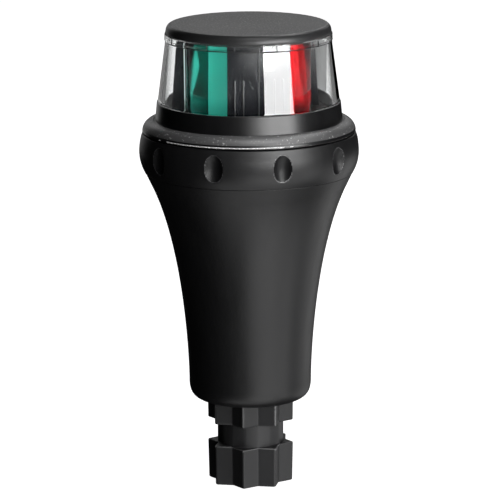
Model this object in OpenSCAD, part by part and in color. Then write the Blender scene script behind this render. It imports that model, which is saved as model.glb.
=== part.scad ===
/* [Mounting spline] */
// Height of the lower star, which a star socket grips
lower_star_h = 14.7; // [14:0.1:16]
// Height of the round neck between the stars, where a socket's latch drops in
latch_neck_h = 8.2; // [7.5:0.1:9]
// Height of the upper star, up to the underside of the body
upper_star_h = 8; // [7:0.1:9]
// Radius over the star's eight points
star_tip_r = 15.8; // [15.5:0.05:16]
// Radius of the latch neck
latch_neck_r = 12.2; // [11.5:0.1:12.2]
// Turn of the star's first point from dead ahead
star_turn = 24.8; // [0:0.1:45]

/* [Body] */
// Height of the body, from its underside to the grip ring
body_h = 85; // [84:0.5:88]
// Radius of the slim lower part of the body
body_r = 22.35; // [22.2:0.05:23]
// Radius of the body where it meets the grip ring
rim_r = 37.8; // [37.5:0.1:38]
// Wall thickness, measured level
wall = 2.5; // [2:0.1:2.6]
// Radius of the bore that the head plugs into
bore_r = 30.6; // [30.4:0.1:30.7]

/* [Batteries] */
// Diameter of an AA cell
cell_d = 14.5; // [14:0.1:14.5]
// Length of an AA cell over its button
cell_l = 50.5; // [49.5:0.1:50.5]
// Radius of the circle that the three cells stand on
cell_circle_r = 8.9; // [8.7:0.1:9]

/* [Grip ring] */
// Largest radius of the grip ring
ring_r = 40; // [39.8:0.1:40.5]
// Number of thumb scoops round the ring
scoop_count = 10; // [8:1:12]
// Depth of a scoop
scoop_depth = 2; // [1:0.1:2.4]
// Place of the first scoop, from dead ahead
scoop_turn = 7; // [0:1:36]
// Turn from open to locked and switched on
twist = 60; // [55:1:60]

/* [Lens] */
// Radius of the lens where it stands on its collar
lens_bottom_r = 33; // [32.8:0.1:33.2]
// Radius of the lens under its top rim
lens_top_r = 30.05; // [29.9:0.05:30.2]
// Height of the lens above its collar
lens_h = 24.9; // [24:0.1:26]
// Thickness of the lens wall
lens_wall = 2.1; // [1.8:0.1:2.1]
// Largest radius of the cap
cap_r = 30; // [29.8:0.1:30.2]
// Thickness of the cap's visible edge
cap_h = 3.4; // [3:0.1:4]

/* [Optics] */
// Outer radius of the colour filters
filter_r = 22.7; // [22.5:0.1:22.8]
// Thickness of a colour filter
filter_t = 1.2; // [1:0.1:1.3]
// Angle from dead ahead at which a filter begins
filter_start = 30; // [29:0.5:31]
// Distance from the axis back to the rear screen
rear_screen_y = 5.3; // [5:0.1:6]

/* [Hidden] */
$fn = 96;
eps = 0.01;
gap = 0.05;

// Levels, from the spline's foot upwards
base_z = lower_star_h + latch_neck_h + upper_star_h;
floor_z = base_z + 5.5;
carrier_z = floor_z + 5.1;
rim_z = base_z + body_h;
neck_top = rim_z + 9.1;
shoulder_z = neck_top + gap;
ring_z = rim_z + 0.15;
groove_z = shoulder_z + 3.15;
flange_z = groove_z + 2.5;
ring_top = flange_z - 0.35;
chamber_z = flange_z + 6.3;
collar_z = chamber_z + 4.7;
lens_z = collar_z + lens_h;
total_h = lens_z + cap_h;

// Mounting spline
socket_depth = 1.6;
star_point_trim = 0.35;
spigot_r = 8.5;
spline_seal_t = 0.9;
spline_seal_z = base_z + 3.6;
spline_screw_r = 2.1;
washer_t = 1.2;

// Battery carrier
cell_r = cell_d / 2;
contact_t = 0.3;
cell_spring_h = 2.3;
carrier_r = 18.8;
carrier_foot_t = 2.5;
carrier_head_t = 1.6;
cells_z = carrier_z + carrier_foot_t + contact_t;
cells_top = cells_z + cell_spring_h + cell_l;
carrier_top = cells_top + contact_t + carrier_head_t;
pad_t = 0.4;
pads_z = carrier_top + pad_t;

// Neck, bayonet and grip ring
neck_r = 33.2;
bore_z = rim_z - 10;
ramp_r = 34.6;
ramp_z = rim_z + 4.7;
ramp_h = 2.8;
ramp_span = 60;
bayonet_turn = 10;
lug_span = 38;
lug_z = rim_z + 1.3;
lug_h = ramp_z - lug_z - 0.2;
ring_bore_r = ramp_r + 0.3;
ring_bulge_r = 16.5;
ring_bulge_z = rim_z + 8.1;
scoop_z = rim_z + 7.5;
scoop_sweep_r = 6.4;
scoop_tool_r = 4;
magnet_r = 2.5;
magnet_l = 2.8;
magnet_turn = scoop_turn + 180 / scoop_count;
magnet_z = rim_z + 9;

// Head
hub_r = 31;
skirt_r = 30.3;
skirt_bore_r = 26.4;
skirt_z = rim_z - 12.9;
head_floor_t = 2.4;
head_floor_top = skirt_z + head_floor_t;
main_seal_t = 1.2;
main_seal_r = bore_r - gap - main_seal_t;
main_seal_z = rim_z + 5.2;
flange_r = 38.75;
flange_round = 4.15;
collar_r = 33.9;
lens_seat_r = 32.05;
holder_floor_t = 2.8;
holder_bore_r = 26.6;
holder_screw_circle = 23.4;
wire_y = 0.5;

// Driver board
board_z = head_floor_top + 6.6;
board_t = 1.6;
board_top = board_z + board_t;
board_r = 25;
board_screw_circle = 20;
spring_pad_y = 11;

// Optics
optic_top = lens_z - 0.6;
optic_mid = chamber_z + 17.1;
filter_end = 90 + asin(rear_screen_y / filter_r) - 0.3;
filter_in_r = filter_r - filter_t;
screen_t = 1.8;
front_y = filter_r * cos(filter_start);
front_half = filter_r * sin(filter_start) - gap;
core_r = filter_in_r - 0.2;
core_front_y = -5.5;
core_front_half = 15.6;
core_wing_y = 1.2;
core_waist = 18.3;
core_half = core_r - 0.7;
led_board_w = 6;
led_board_x = 15.2;
led_board_t = 1.2;
screen_foot_x = 15;
screen_foot_y = rear_screen_y + 6.5;
front_foot_y = -14.4;
screen_foot_t = 1.6;
screw_hole_r = 1.3;

// Points of an arc in the (radius, height) plane
function arc(r, z, size, from, to, steps) = [
    for (i = [0:steps])
        let (a = from + (to - from) * i / steps)
        [r + size * cos(a), z + size * sin(a)]
];

// Points of a cubic Bezier curve
function bezier(a, b, c, d, steps) = [
    for (i = [0:steps])
        let (t = i / steps, s = 1 - t)
        s * s * s * a + 3 * s * s * t * b + 3 * s * t * t * c + t * t * t * d
];

// Outer curves of the body: the rounded foot, then the flare up to the ring
foot_curve = bezier([15.5, base_z], [20.5, base_z + 0.7], [22.3, base_z + 2.1],
    [body_r, base_z + 7.1], 8);
flare_curve = bezier([body_r, base_z + 7.1], [body_r, base_z + 14.7],
    [rim_r - 13.9, rim_z - 30.1], [rim_r - 2.85, rim_z - 5.9], 16);

// Turns a child to an angle from dead ahead (-Y); positive is towards +X
module turned(angle) {
    rotate([0, 0, angle - 90])
        children();
}

// Block between two radii, two heights and two angles from dead ahead
module arc_block(r0, r1, z0, z1, from, to) {
    turned(from)
        rotate_extrude(angle = to - from)
            translate([r0, z0])
                square([r1 - r0, z1 - z0]);
}

module ring_block(r0, r1, z0, z1) {
    rotate_extrude()
        translate([r0, z0])
            square([r1 - r0, z1 - z0]);
}

module o_ring(r, z, thickness) {
    rotate_extrude()
        translate([r, z])
            circle(thickness, $fn = 32);
}

// Pan-head screw standing on z = 0, its shank pointing down
module screw(shank_r, shank_l, head_r, head_h) {
    difference() {
        union() {
            translate([0, 0, -shank_l])
                cylinder(r = shank_r, h = shank_l + eps);
            cylinder(r1 = head_r, r2 = head_r * 0.86, h = head_h);
        }
        for (a = [0, 90])
            rotate([0, 0, a])
                translate([-head_r * 0.55, -head_r * 0.12, head_h * 0.45])
                    cube([head_r * 1.1, head_r * 0.24, head_h]);
    }
}

// Coil spring round the Z axis, standing on z = 0
module coil_spring(bottom_r, top_r, height, wire_r, turns) {
    sides = 6;
    rings = turns * 12;
    function centre(i) =
        let (t = i / rings, r = bottom_r + (top_r - bottom_r) * t)
        [r * cos(360 * turns * t), r * sin(360 * turns * t),
         wire_r + (height - 2 * wire_r) * t];
    points = [
        for (i = [0:rings], k = [0:sides - 1])
            let (turn = 360 * turns * i / rings, a = 360 * k / sides)
            centre(i) + wire_r * [cos(a) * cos(turn), cos(a) * sin(turn), sin(a)]
    ];
    sides_faces = [
        for (i = [0:rings - 1], k = [0:sides - 1])
            let (n = (k + 1) % sides)
            [i * sides + k, (i + 1) * sides + k, (i + 1) * sides + n, i * sides + n]
    ];
    start_face = [[for (k = [0:sides - 1]) k]];
    end_face = [[for (k = [sides - 1:-1:0]) rings * sides + k]];
    polyhedron(points, concat(sides_faces, start_face, end_face), convexity = 8);
}

// Eight-pointed star, as two squares laid across each other, growing by extra at its points
module star(z0, z1, extra) {
    point_r = star_tip_r + extra;
    valley_r = point_r * cos(45) / cos(22.5);
    translate([0, 0, z0])
        turned(star_turn)
            linear_extrude(z1 - z0)
                polygon([
                    for (i = [0:15])
                        (i % 2 == 0 ? point_r : valley_r) * [cos(22.5 * i), sin(22.5 * i)]
                ]);
}

// Star with its points trimmed round and its lower edge chamfered
module trimmed_star(z0, z1, r0, r1, chamfer) {
    intersection() {
        star(z0, z1, star_point_trim);
        rotate_extrude()
            polygon([[0, z0 - 1], [r0 - chamfer - 1, z0 - 1], [r0, z0 + chamfer], [r1, z1 + 1],
                     [0, z1 + 1]]);
    }
}

module body_outer(inset) {
    rotate_extrude()
        polygon(concat(
            [[0, base_z + inset]],
            [for (p = foot_curve) [max(p[0] - inset, 0), max(p[1], base_z + inset)]],
            [for (i = [1:len(flare_curve) - 1]) flare_curve[i] - [inset, 0]],
            [[rim_r - inset, rim_z - inset], [0, rim_z - inset]]
        ));
}

module body_cavity() {
    rotate_extrude()
        polygon(concat(
            [[0, floor_z], [body_r - wall - 0.5, floor_z]],
            [for (p = flare_curve) if (p[1] < bore_z - 1) p - [wall, 0]],
            [[bore_r, bore_z], [bore_r, neck_top - 0.8], [bore_r + 0.6, neck_top + 1],
             [0, neck_top + 1]]
        ));
}

// Ribs that centre the carrier and ledges that it stands on, inside the wall
module bay_ribs() {
    difference() {
        intersection() {
            body_outer(wall / 2);
            for (a = [0:60:300])
                turned(a)
                    translate([0, -1, floor_z - 1])
                        cube([rim_r, 2, carrier_top - floor_z]);
        }
        translate([0, 0, carrier_z])
            cylinder(r = carrier_r + 0.3, h = body_h);
        translate([0, 0, floor_z - 2])
            cylinder(r = 14, h = body_h);
    }
}

// Three bayonet ramps on the neck, each with a stop at its far end
module bayonet_ramps() {
    for (i = [0:2]) {
        middle = bayonet_turn + 120 * i + 60;
        arc_block(neck_r - 1, ramp_r, ramp_z, ramp_z + ramp_h,
            middle - ramp_span / 2, middle + ramp_span / 2);
        arc_block(neck_r - 1.2, ramp_r - 0.2, rim_z - 0.5, ramp_z + 1,
            middle + lug_span / 2 + 0.6, middle + ramp_span / 2 - 2);
    }
}

module body_shell() {
    color([0.05, 0.05, 0.055])
        difference() {
            union() {
                difference() {
                    union() {
                        body_outer(0);
                        ring_block(bore_r - 2, neck_r, rim_z - 1, neck_top);
                    }
                    body_cavity();
                }
                bayonet_ramps();
                bay_ribs();
            }
            star(base_z - 1, base_z + socket_depth, star_point_trim + 0.15);
            translate([0, 0, base_z])
                cylinder(r = spigot_r + 0.1, h = 10);
        }
}

module mounting_spline() {
    color([0.06, 0.06, 0.065])
        difference() {
            union() {
                trimmed_star(0, lower_star_h, star_tip_r - 0.3, star_tip_r, 0.6);
                translate([0, 0, lower_star_h - 1])
                    cylinder(r = latch_neck_r, h = latch_neck_h + 2);
                trimmed_star(lower_star_h + latch_neck_h, base_z + socket_depth,
                    star_tip_r + 0.1, star_tip_r + 0.2, 0.5);
                translate([0, 0, base_z])
                    cylinder(r = spigot_r, h = floor_z - base_z);
            }
            ring_block(spigot_r - 1.7, spigot_r + 1, spline_seal_z - 1, spline_seal_z + 1);
            translate([0, 0, floor_z - 18])
                cylinder(r = spline_screw_r + 0.05, h = 20);
        }
}

module spline_seal() {
    color([0.12, 0.12, 0.12])
        o_ring(spigot_r + 0.1 - spline_seal_t, spline_seal_z, spline_seal_t);
}

module spline_washer() {
    color("silver")
        ring_block(spline_screw_r + 0.2, 11, floor_z, floor_z + washer_t);
}

module spline_screw() {
    color("silver")
        translate([0, 0, floor_z + washer_t])
            screw(spline_screw_r, 17, 4.4, 2.8);
}

// Foot and head plates on a thin middle post and three outer posts, notched for the body's ribs
module battery_carrier() {
    middle_post_r = 1.3;
    post_r = 2.6;
    post_circle_r = 15.8;
    notch_r = 1.2;
    color([0.1, 0.1, 0.11])
        difference() {
            union() {
                ring_block(0, carrier_r, carrier_z, carrier_z + carrier_foot_t);
                ring_block(0, carrier_r, carrier_top - carrier_head_t, carrier_top);
                translate([0, 0, carrier_z])
                    cylinder(r = middle_post_r, h = carrier_top - carrier_z);
                for (a = [60:120:300])
                    turned(a)
                        translate([post_circle_r, 0, carrier_z])
                            cylinder(r = post_r, h = carrier_top - carrier_z);
            }
            for (a = [60:120:300])
                turned(a)
                    translate([carrier_r, 0, carrier_z - 1])
                        cylinder(r = notch_r, h = carrier_foot_t + 2);
        }
}

// AA cell on its place in the carrier; every second one stands on its button
module battery_cell(index) {
    upside_down = index == 1;
    button_h = 1;
    button_r = 2.75;
    can_h = cell_l - button_h;
    turned(120 * index)
        translate([cell_circle_r, 0, upside_down ? cells_z + cell_l : cells_z + cell_spring_h])
            mirror([0, 0, upside_down ? 1 : 0]) {
                color(index == 1 ? "goldenrod" : "peru")
                    rotate_extrude()
                        polygon([[0, 0], [cell_r - 0.5, 0], [cell_r, 0.5], [cell_r, can_h - 0.6],
                                 [cell_r - 0.6, can_h], [button_r, can_h], [button_r, cell_l],
                                 [0, cell_l]]);
            }
}

module cell_contacts() {
    contact_l = 10;
    contact_w = 9;
    color("silver")
        for (i = [0:2])
            turned(120 * i)
                for (z = [cells_z - contact_t, cells_top])
                    translate([cell_circle_r - contact_l / 2, -contact_w / 2, z])
                        cube([contact_l, contact_w, contact_t]);
}

module cell_springs() {
    color("silver")
        for (i = [0:2])
            turned(120 * i)
                translate([cell_circle_r, 0, i == 1 ? cells_top - cell_spring_h : cells_z])
                    coil_spring(4.2, 2.6, cell_spring_h, 0.35, 2.5);
}

module carrier_contacts() {
    color("gold") {
        ring_block(0, 4, carrier_top, pads_z);
        ring_block(8.5, 13.5, carrier_top, pads_z);
    }
}

// Cutter for one scoop: a round tool swept on an upright arc
module scoop_cutter() {
    reach = ring_r - scoop_depth + scoop_sweep_r + scoop_tool_r;
    translate([reach, 0, scoop_z])
        rotate([90, 0, 0])
            rotate_extrude()
                translate([scoop_sweep_r, 0])
                    circle(scoop_tool_r, $fn = 48);
}

module grip_ring() {
    bulge_r = ring_r - ring_bulge_r;
    low = asin((ring_z - ring_bulge_z) / ring_bulge_r);
    high = asin((ring_top - 0.5 - ring_bulge_z) / ring_bulge_r);
    color([0.055, 0.055, 0.06])
        difference() {
            union() {
                rotate_extrude()
                    polygon(concat(
                        [[ring_bore_r, ring_z]],
                        arc(bulge_r, ring_bulge_z, ring_bulge_r, low, high, 12),
                        [[bulge_r + ring_bulge_r * cos(high) - 0.6, ring_top],
                         [hub_r + gap, ring_top], [hub_r + gap, groove_z + 0.2],
                         [ring_bore_r, groove_z + 0.2]]
                    ));
                for (i = [0:2]) {
                    middle = bayonet_turn + 120 * i;
                    arc_block(neck_r + 0.2, ring_bore_r + 1, lug_z, lug_z + lug_h,
                        middle - lug_span / 2, middle + lug_span / 2);
                }
            }
            for (i = [0:scoop_count - 1])
                turned(scoop_turn + 360 * i / scoop_count)
                    scoop_cutter();
            turned(magnet_turn)
                translate([ring_bore_r - 1, 0, magnet_z])
                    rotate([0, 90, 0])
                        cylinder(r = magnet_r + gap, h = magnet_l + 1.2);
        }
}

module ring_magnet() {
    color("gray")
        turned(magnet_turn)
            translate([ring_bore_r + 0.15, 0, magnet_z])
                rotate([0, 90, 0])
                    cylinder(r = magnet_r, h = magnet_l);
}

module head_base() {
    pillar_r = 2.8;
    pilot_r = 1.15;
    holder_hole_r = 1.7;
    contact_hole_r = 3.6;
    color([0.09, 0.09, 0.1])
        difference() {
            union() {
                rotate_extrude()
                    polygon([[0, skirt_z], [27.5, skirt_z], [skirt_r, skirt_z + 5],
                             [skirt_r, shoulder_z], [neck_r - 0.6, shoulder_z],
                             [neck_r - 0.6, groove_z], [skirt_bore_r, groove_z],
                             [skirt_bore_r, skirt_z + 5.5], [25.2, head_floor_top],
                             [0, head_floor_top]]);
                for (a = [0:120:240])
                    turned(a)
                        translate([board_screw_circle, 0, skirt_z + 1])
                            cylinder(r = pillar_r, h = board_z - skirt_z - 1);
                for (a = [60:120:300])
                    arc_block(20.8, skirt_bore_r + 1, shoulder_z - 1, groove_z, a - 8, a + 8);
            }
            ring_block(main_seal_r - main_seal_t, skirt_r + 1,
                main_seal_z - 1.5, main_seal_z + 1.5);
            for (a = [0:120:240])
                turned(a)
                    translate([board_screw_circle, 0, board_z - 6])
                        cylinder(r = pilot_r, h = 10);
            for (a = [60:120:300])
                turned(a)
                    translate([holder_screw_circle, 0, shoulder_z - 3])
                        cylinder(r = holder_hole_r, h = 10);
            for (y = [0, spring_pad_y])
                translate([0, y, skirt_z - 1])
                    cylinder(r = contact_hole_r, h = head_floor_t + 2);
        }
}

module main_seal() {
    color([0.12, 0.12, 0.12])
        o_ring(main_seal_r, main_seal_z, main_seal_t);
}

module lens_holder() {
    round_r = flange_r - flange_round;
    boss_r = 3.3;
    pilot_r = 1.25;
    wire_hole_r = 5;
    color([0.055, 0.055, 0.06])
        difference() {
            union() {
                rotate_extrude()
                    polygon(concat(
                        [[0, chamber_z - holder_floor_t],
                         [holder_bore_r, chamber_z - holder_floor_t],
                         [holder_bore_r, groove_z], [hub_r, groove_z], [hub_r, flange_z],
                         [flange_r - 0.3, flange_z]],
                        arc(round_r, flange_z + 0.25, flange_round, 0, 90, 10),
                        [[collar_r + 0.1, flange_z + 4.1], [collar_r - 0.5, collar_z - 0.35],
                         [collar_r - 0.9, collar_z], [lens_seat_r, collar_z],
                         [lens_seat_r, chamber_z], [0, chamber_z]]
                    ));
                for (a = [60:120:300])
                    turned(a)
                        translate([holder_screw_circle, 0, groove_z])
                            cylinder(r = boss_r, h = chamber_z - groove_z - 1);
            }
            for (a = [60:120:300])
                turned(a)
                    translate([holder_screw_circle, 0, groove_z - 1])
                        cylinder(r = pilot_r, h = 8);
            translate([0, wire_y, groove_z])
                cylinder(r = wire_hole_r, h = 12);
            optic_screw_places()
                translate([0, 0, -1])
                    cylinder(r = 1.05, h = 4, center = true);
        }
}

module holder_screws() {
    color("silver")
        for (a = [60:120:300])
            turned(a)
                translate([holder_screw_circle, 0, shoulder_z - 1])
                    mirror([0, 0, 1])
                        screw(1.2, 10, 2.6, 1.8);
}

module driver_board() {
    peg_hole_y = -4;
    color("darkgreen")
        difference() {
            translate([0, 0, board_z])
                cylinder(r = board_r, h = board_t);
            for (a = [0:120:240])
                turned(a)
                    translate([board_screw_circle, 0, board_z - 1])
                        cylinder(r = 1.4, h = 4);
            translate([0, peg_hole_y, board_z - 1])
                cylinder(r = 1, h = 4);
        }
}

module board_screws() {
    color("silver")
        for (a = [0:120:240])
            turned(a)
                translate([board_screw_circle, 0, board_top])
                    screw(1.1, 7, 2.4, 1.6);
}

// Coil, capacitor and chips of the driver, standing on the board
module board_components() {
    color([0.15, 0.15, 0.16])
        translate([0, 0, board_top]) {
            translate([-19, -4, 0])
                cube([7, 7, 4]);
            translate([-6, 8, 0])
                cube([5, 4, 1.5]);
            translate([4, 8, 0])
                cylinder(r = 3.2, h = 7);
            translate([6, -10, 0])
                cube([3.2, 1.6, 0.8]);
            translate([-10, -9, 0])
                cube([3.2, 1.6, 0.8]);
        }
}

// Glass reed switch on its two bent leads, opposite the magnet's locked place
module reed_switch() {
    reed_r = 21.5;
    half = 7;
    lead_r = 0.3;
    lead_z = board_top + 1.8;
    color("lightblue")
        turned(magnet_turn + twist)
            translate([reed_r, 0, 0]) {
                translate([0, 0, lead_z])
                    rotate([90, 0, 0])
                        cylinder(r = 1.1, h = 2 * half, center = true);
                for (side = [-1, 1]) {
                    translate([0, side * (half + 1), lead_z])
                        rotate([90, 0, 0])
                            cylinder(r = lead_r, h = 3, center = true, $fn = 24);
                    translate([0, side * (half + 2.2), board_top])
                        cylinder(r = lead_r, h = lead_z - board_top, $fn = 24);
                }
            }
}

module contact_springs() {
    color("gold")
        for (y = [0, spring_pad_y])
            translate([0, y, pads_z])
                coil_spring(2.4, 2.4, board_z - pads_z, 0.4, 5);
}

// Lead pairs from the driver board up to the two LED boards
module led_wires() {
    wire_r = 0.55;
    bend_r = 3;
    rise_x = 4;
    color([0.6, 0.1, 0.1])
        for (side = [0, 1], y = [-1.2, 1.2])
            mirror([side, 0, 0])
                translate([rise_x - 1, wire_y + y, 0]) {
                    translate([0, 0, board_top])
                        cylinder(r = wire_r, h = optic_mid - bend_r - board_top, $fn = 24);
                    translate([bend_r, 0, optic_mid - bend_r])
                        rotate([90, 0, 0])
                            mirror([1, 0, 0])
                                rotate_extrude(angle = 90)
                                    translate([bend_r, 0])
                                        circle(wire_r, $fn = 24);
                    translate([bend_r, 0, optic_mid])
                        rotate([0, 90, 0])
                            cylinder(r = wire_r, h = led_board_x - rise_x + 1 - bend_r, $fn = 24);
                }
}

// One LED board and one LED, on the +X side
module led_board() {
    color("white")
        translate([led_board_x, wire_y - led_board_w / 2, optic_mid - led_board_w / 2])
            cube([led_board_t, led_board_w, led_board_w]);
}

module led_package(colour) {
    led_w = 3.5;
    led_t = 0.8;
    dome_r = 1.3;
    color(colour)
        translate([led_board_x + led_board_t, wire_y, optic_mid]) {
            translate([0, -led_w / 2, -led_w / 2])
                cube([led_t, led_w, led_w]);
            rotate([0, 90, 0])
                cylinder(r = dome_r, h = led_t + 0.5);
        }
}

// Bright waisted block behind the filters: a flat front, slanting cheeks and a shallow trough on
// each side, with the LED at the bottom of the trough and a thin plate closing it behind
module reflector_core() {
    back = rear_screen_y - 0.1;
    low = chamber_z + 0.1;
    high = optic_top - 0.1;
    window = led_board_w + 0.4;
    core_wall = 2;
    cavity_half = 13.5;
    flare = core_r + 0.4;
    plate_t = 1;
    color("gainsboro")
        difference() {
            union() {
                intersection() {
                    translate([0, back, 0])
                        rotate([90, 0, 0])
                            linear_extrude(back - core_front_y)
                                polygon([[-flare, low], [flare, low], [core_waist, optic_mid],
                                         [flare, high], [-flare, high], [-core_waist, optic_mid]]);
                    translate([0, 0, low])
                        linear_extrude(high - low)
                            polygon([[-core_front_half, core_front_y],
                                     [core_front_half, core_front_y],
                                     [core_half, core_wing_y], [core_half, back],
                                     [-core_half, back], [-core_half, core_wing_y]]);
                }
                translate([-core_half, back - plate_t, low])
                    cube([2 * core_half, plate_t, high - low]);
            }
            translate([-cavity_half, core_front_y + core_wall, low - 1])
                cube([2 * cavity_half, back - core_front_y - 2 * core_wall, high - low - 1]);
            translate([-core_r - 1, wire_y - window / 2, optic_mid - window / 2])
                cube([2 * core_r + 2, window, window]);
        }
}

// Places of the screws that hold the screens down on the chamber's floor
module optic_screw_places() {
    for (x = [-screen_foot_x, screen_foot_x])
        translate([x, screen_foot_y, chamber_z])
            children();
    translate([0, front_foot_y, chamber_z])
        children();
}

// Black panel ahead of the axis, which parts the two colours
module front_screen() {
    rail_w = 0.5;
    rail_inner_x = 5.6;
    rail_outer_x = 8.7;
    rail_h = 15.3;
    rail_y = -front_y - 0.6;
    tab_h = 2.6;
    bead_w = 0.4;
    foot_w = 10;
    color([0.06, 0.06, 0.065])
        difference() {
            union() {
                translate([0, 0, chamber_z])
                    linear_extrude(optic_top - chamber_z)
                        polygon([[-front_half, -front_y], [front_half, -front_y],
                                 [front_half - 1, screen_t - front_y],
                                 [1 - front_half, screen_t - front_y]]);
                for (x = [-rail_outer_x, -rail_inner_x, rail_inner_x, rail_outer_x])
                    translate([x - rail_w / 2, rail_y, chamber_z])
                        cube([rail_w, 1, rail_h]);
                for (x = [-rail_outer_x, rail_outer_x])
                    translate([x - rail_w / 2, rail_y, optic_top - tab_h - 0.4])
                        cube([rail_w, 1, tab_h]);
                translate([-bead_w / 2, rail_y + 0.3, chamber_z])
                    cube([bead_w, 1, optic_top - chamber_z]);
                translate([-foot_w / 2, screen_t - front_y - 0.5, chamber_z])
                    cube([foot_w, 5.2, screen_foot_t]);
            }
            optic_screw_places()
                cylinder(r = screw_hole_r, h = 8, center = true);
        }
}

// Black plate behind the axis, which ends both colours abeam
module rear_screen() {
    low_half = 27.9;
    high_half = 25.4;
    gusset_t = 1.6;
    gusset_h = 24;
    foot_w = 7;
    color([0.06, 0.06, 0.065])
        difference() {
            union() {
                translate([0, rear_screen_y + screen_t, 0])
                    rotate([90, 0, 0])
                        linear_extrude(screen_t)
                            polygon([[-low_half, chamber_z], [low_half, chamber_z],
                                     [high_half, optic_top], [-high_half, optic_top]]);
                for (x = [-8, 8])
                    translate([x - gusset_t / 2, rear_screen_y + screen_t - eps, chamber_z])
                        rotate([90, 0, 90])
                            linear_extrude(gusset_t)
                                polygon([[0, 0], [8, 0], [1.5, gusset_h], [0, gusset_h]]);
                for (x = [-screen_foot_x, screen_foot_x])
                    translate([x - foot_w / 2, rear_screen_y + screen_t - eps, chamber_z])
                        cube([foot_w, 8.5, screen_foot_t]);
            }
            optic_screw_places()
                cylinder(r = screw_hole_r, h = 8, center = true);
        }
}

module optic_screws() {
    color("silver")
        optic_screw_places()
            translate([0, 0, screen_foot_t])
                screw(1, 4.2, 2, 1.3);
}

module colour_filter(colour, from, to) {
    color(colour, 0.8)
        arc_block(filter_in_r, filter_r, chamber_z + gap, optic_top - gap, from, to);
}

module lens_cover() {
    foot_z = chamber_z + 0.6;
    band_z = lens_z - 2.6;
    inner_r = lens_top_r - lens_wall + 0.55;
    tab_count = 10;
    tab_turn = 2.4;
    tab_span = 13;
    color([0.9, 0.95, 1], 0.35)
        difference() {
            rotate_extrude()
                polygon([[lens_bottom_r - lens_wall, foot_z], [lens_seat_r - 0.1, foot_z],
                         [lens_seat_r - 0.1, collar_z + gap], [lens_bottom_r, collar_z + gap],
                         [lens_top_r + 0.05, band_z], [lens_top_r + 0.4, band_z + 0.1],
                         [lens_top_r + 0.3, lens_z], [inner_r, lens_z], [inner_r, band_z],
                         [lens_bottom_r - lens_wall, collar_z + gap]]);
            for (i = [0:tab_count - 1])
                let (middle = tab_turn + 360 / tab_count * i)
                    arc_block(lens_top_r + 0.15, lens_top_r + 2, band_z + 0.5, lens_z - 0.5,
                        middle - tab_span / 2, middle + tab_span / 2);
        }
}

module lens_seal() {
    color([0.12, 0.12, 0.12])
        ring_block(lens_bottom_r - lens_wall, lens_seat_r - 0.1, chamber_z, chamber_z + 0.6);
}

module top_cap() {
    top_r = cap_r - 2.2;
    top_t = 2.2;
    spigot_out = lens_top_r - lens_wall - gap;
    spigot_t = 1.3;
    spigot_z = lens_z - 0.95;
    color([0.07, 0.07, 0.075])
        difference() {
            rotate_extrude()
                polygon(concat(
                    [[0, total_h]],
                    bezier([top_r, total_h], [top_r + 1.5, total_h], [cap_r, total_h - 1.4],
                        [cap_r, total_h - 2.8], 8),
                    [[cap_r - 0.1, lens_z + gap], [spigot_out, lens_z + gap],
                     [spigot_out, spigot_z], [spigot_out - spigot_t, spigot_z],
                     [spigot_out - spigot_t, total_h - top_t], [0, total_h - top_t]]
                ));
            ring_block(spigot_out - 0.3, spigot_out + 1, lens_z - 0.75, lens_z - 0.15);
        }
}

module cap_seal() {
    color([0.12, 0.12, 0.12])
        o_ring(lens_top_r - lens_wall + 0.27, lens_z - 0.45, 0.28);
}

body_shell();
mounting_spline();
spline_seal();
spline_washer();
spline_screw();
battery_carrier();
for (i = [0:2])
    battery_cell(i);
cell_contacts();
cell_springs();
carrier_contacts();
grip_ring();
ring_magnet();
lens_holder();
head_base();
main_seal();
holder_screws();
driver_board();
board_components();
reed_switch();
contact_springs();
board_screws();
led_wires();
led_board();  // led_board_port
mirror([1, 0, 0]) led_board();  // led_board_starboard
led_package("red");  // led_port
mirror([1, 0, 0]) led_package("green");  // led_starboard
reflector_core();
front_screen();
rear_screen();
colour_filter("red", filter_start, filter_end);  // filter_port
colour_filter("green", -filter_end, -filter_start);  // filter_starboard
optic_screws();
lens_cover();
lens_seal();
top_cap();
cap_seal();
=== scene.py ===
import math
import random

import bmesh
import bpy
from mathutils import Matrix, Vector


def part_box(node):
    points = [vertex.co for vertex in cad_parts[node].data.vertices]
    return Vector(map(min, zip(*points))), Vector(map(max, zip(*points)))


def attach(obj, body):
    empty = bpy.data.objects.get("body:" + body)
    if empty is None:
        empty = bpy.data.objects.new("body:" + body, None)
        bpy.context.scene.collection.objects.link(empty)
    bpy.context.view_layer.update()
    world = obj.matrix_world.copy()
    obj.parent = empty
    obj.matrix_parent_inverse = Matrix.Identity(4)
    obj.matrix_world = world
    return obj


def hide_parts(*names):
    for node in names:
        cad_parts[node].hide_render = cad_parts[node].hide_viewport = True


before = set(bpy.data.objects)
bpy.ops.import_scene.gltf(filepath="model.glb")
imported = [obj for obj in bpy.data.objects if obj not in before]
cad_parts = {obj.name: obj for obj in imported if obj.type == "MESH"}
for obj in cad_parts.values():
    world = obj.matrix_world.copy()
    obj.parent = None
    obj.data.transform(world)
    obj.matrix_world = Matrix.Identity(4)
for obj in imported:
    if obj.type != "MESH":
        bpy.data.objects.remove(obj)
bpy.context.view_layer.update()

# Outlines are in millimetres, as (radius, height) or (radius, height, corner rounding)
MM = 0.001
SEGMENTS = 216
SMOOTH_LIMIT = math.radians(32)
PRISM_LIMIT = math.radians(20)


def low(node):
    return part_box(node)[0].z / MM


def high(node):
    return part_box(node)[1].z / MM


def reach(node):
    return (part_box(node)[1].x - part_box(node)[0].x) / 2 / MM


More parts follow.
